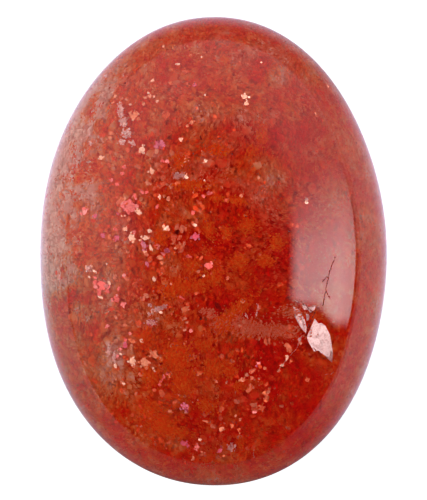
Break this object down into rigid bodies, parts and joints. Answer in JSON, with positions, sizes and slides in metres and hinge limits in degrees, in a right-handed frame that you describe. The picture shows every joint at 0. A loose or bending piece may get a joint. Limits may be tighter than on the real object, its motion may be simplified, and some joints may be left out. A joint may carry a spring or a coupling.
{
  "type": "sunstone cabochon",
  "caption": "Loose oval gemstone cabochon with a polished dome, a thin girdle, a small bevel and a flat base; orange-red translucent feldspar full of glittering flakes.",
  "frame": {"origin": "middle of the flat base", "axes": "+Z from the flat base up to the crown of the dome, +Y along the stone's length, +X across its width"},
  "size_m": [0.0148, 0.02, 0.0054],
  "materials": {
    "sunstone": "polished, translucent, with copper-coloured flakes inside"
  },
  "bodies": {
    "root": {"sunstone": "sunstone"}
  },
  "joints": []
}
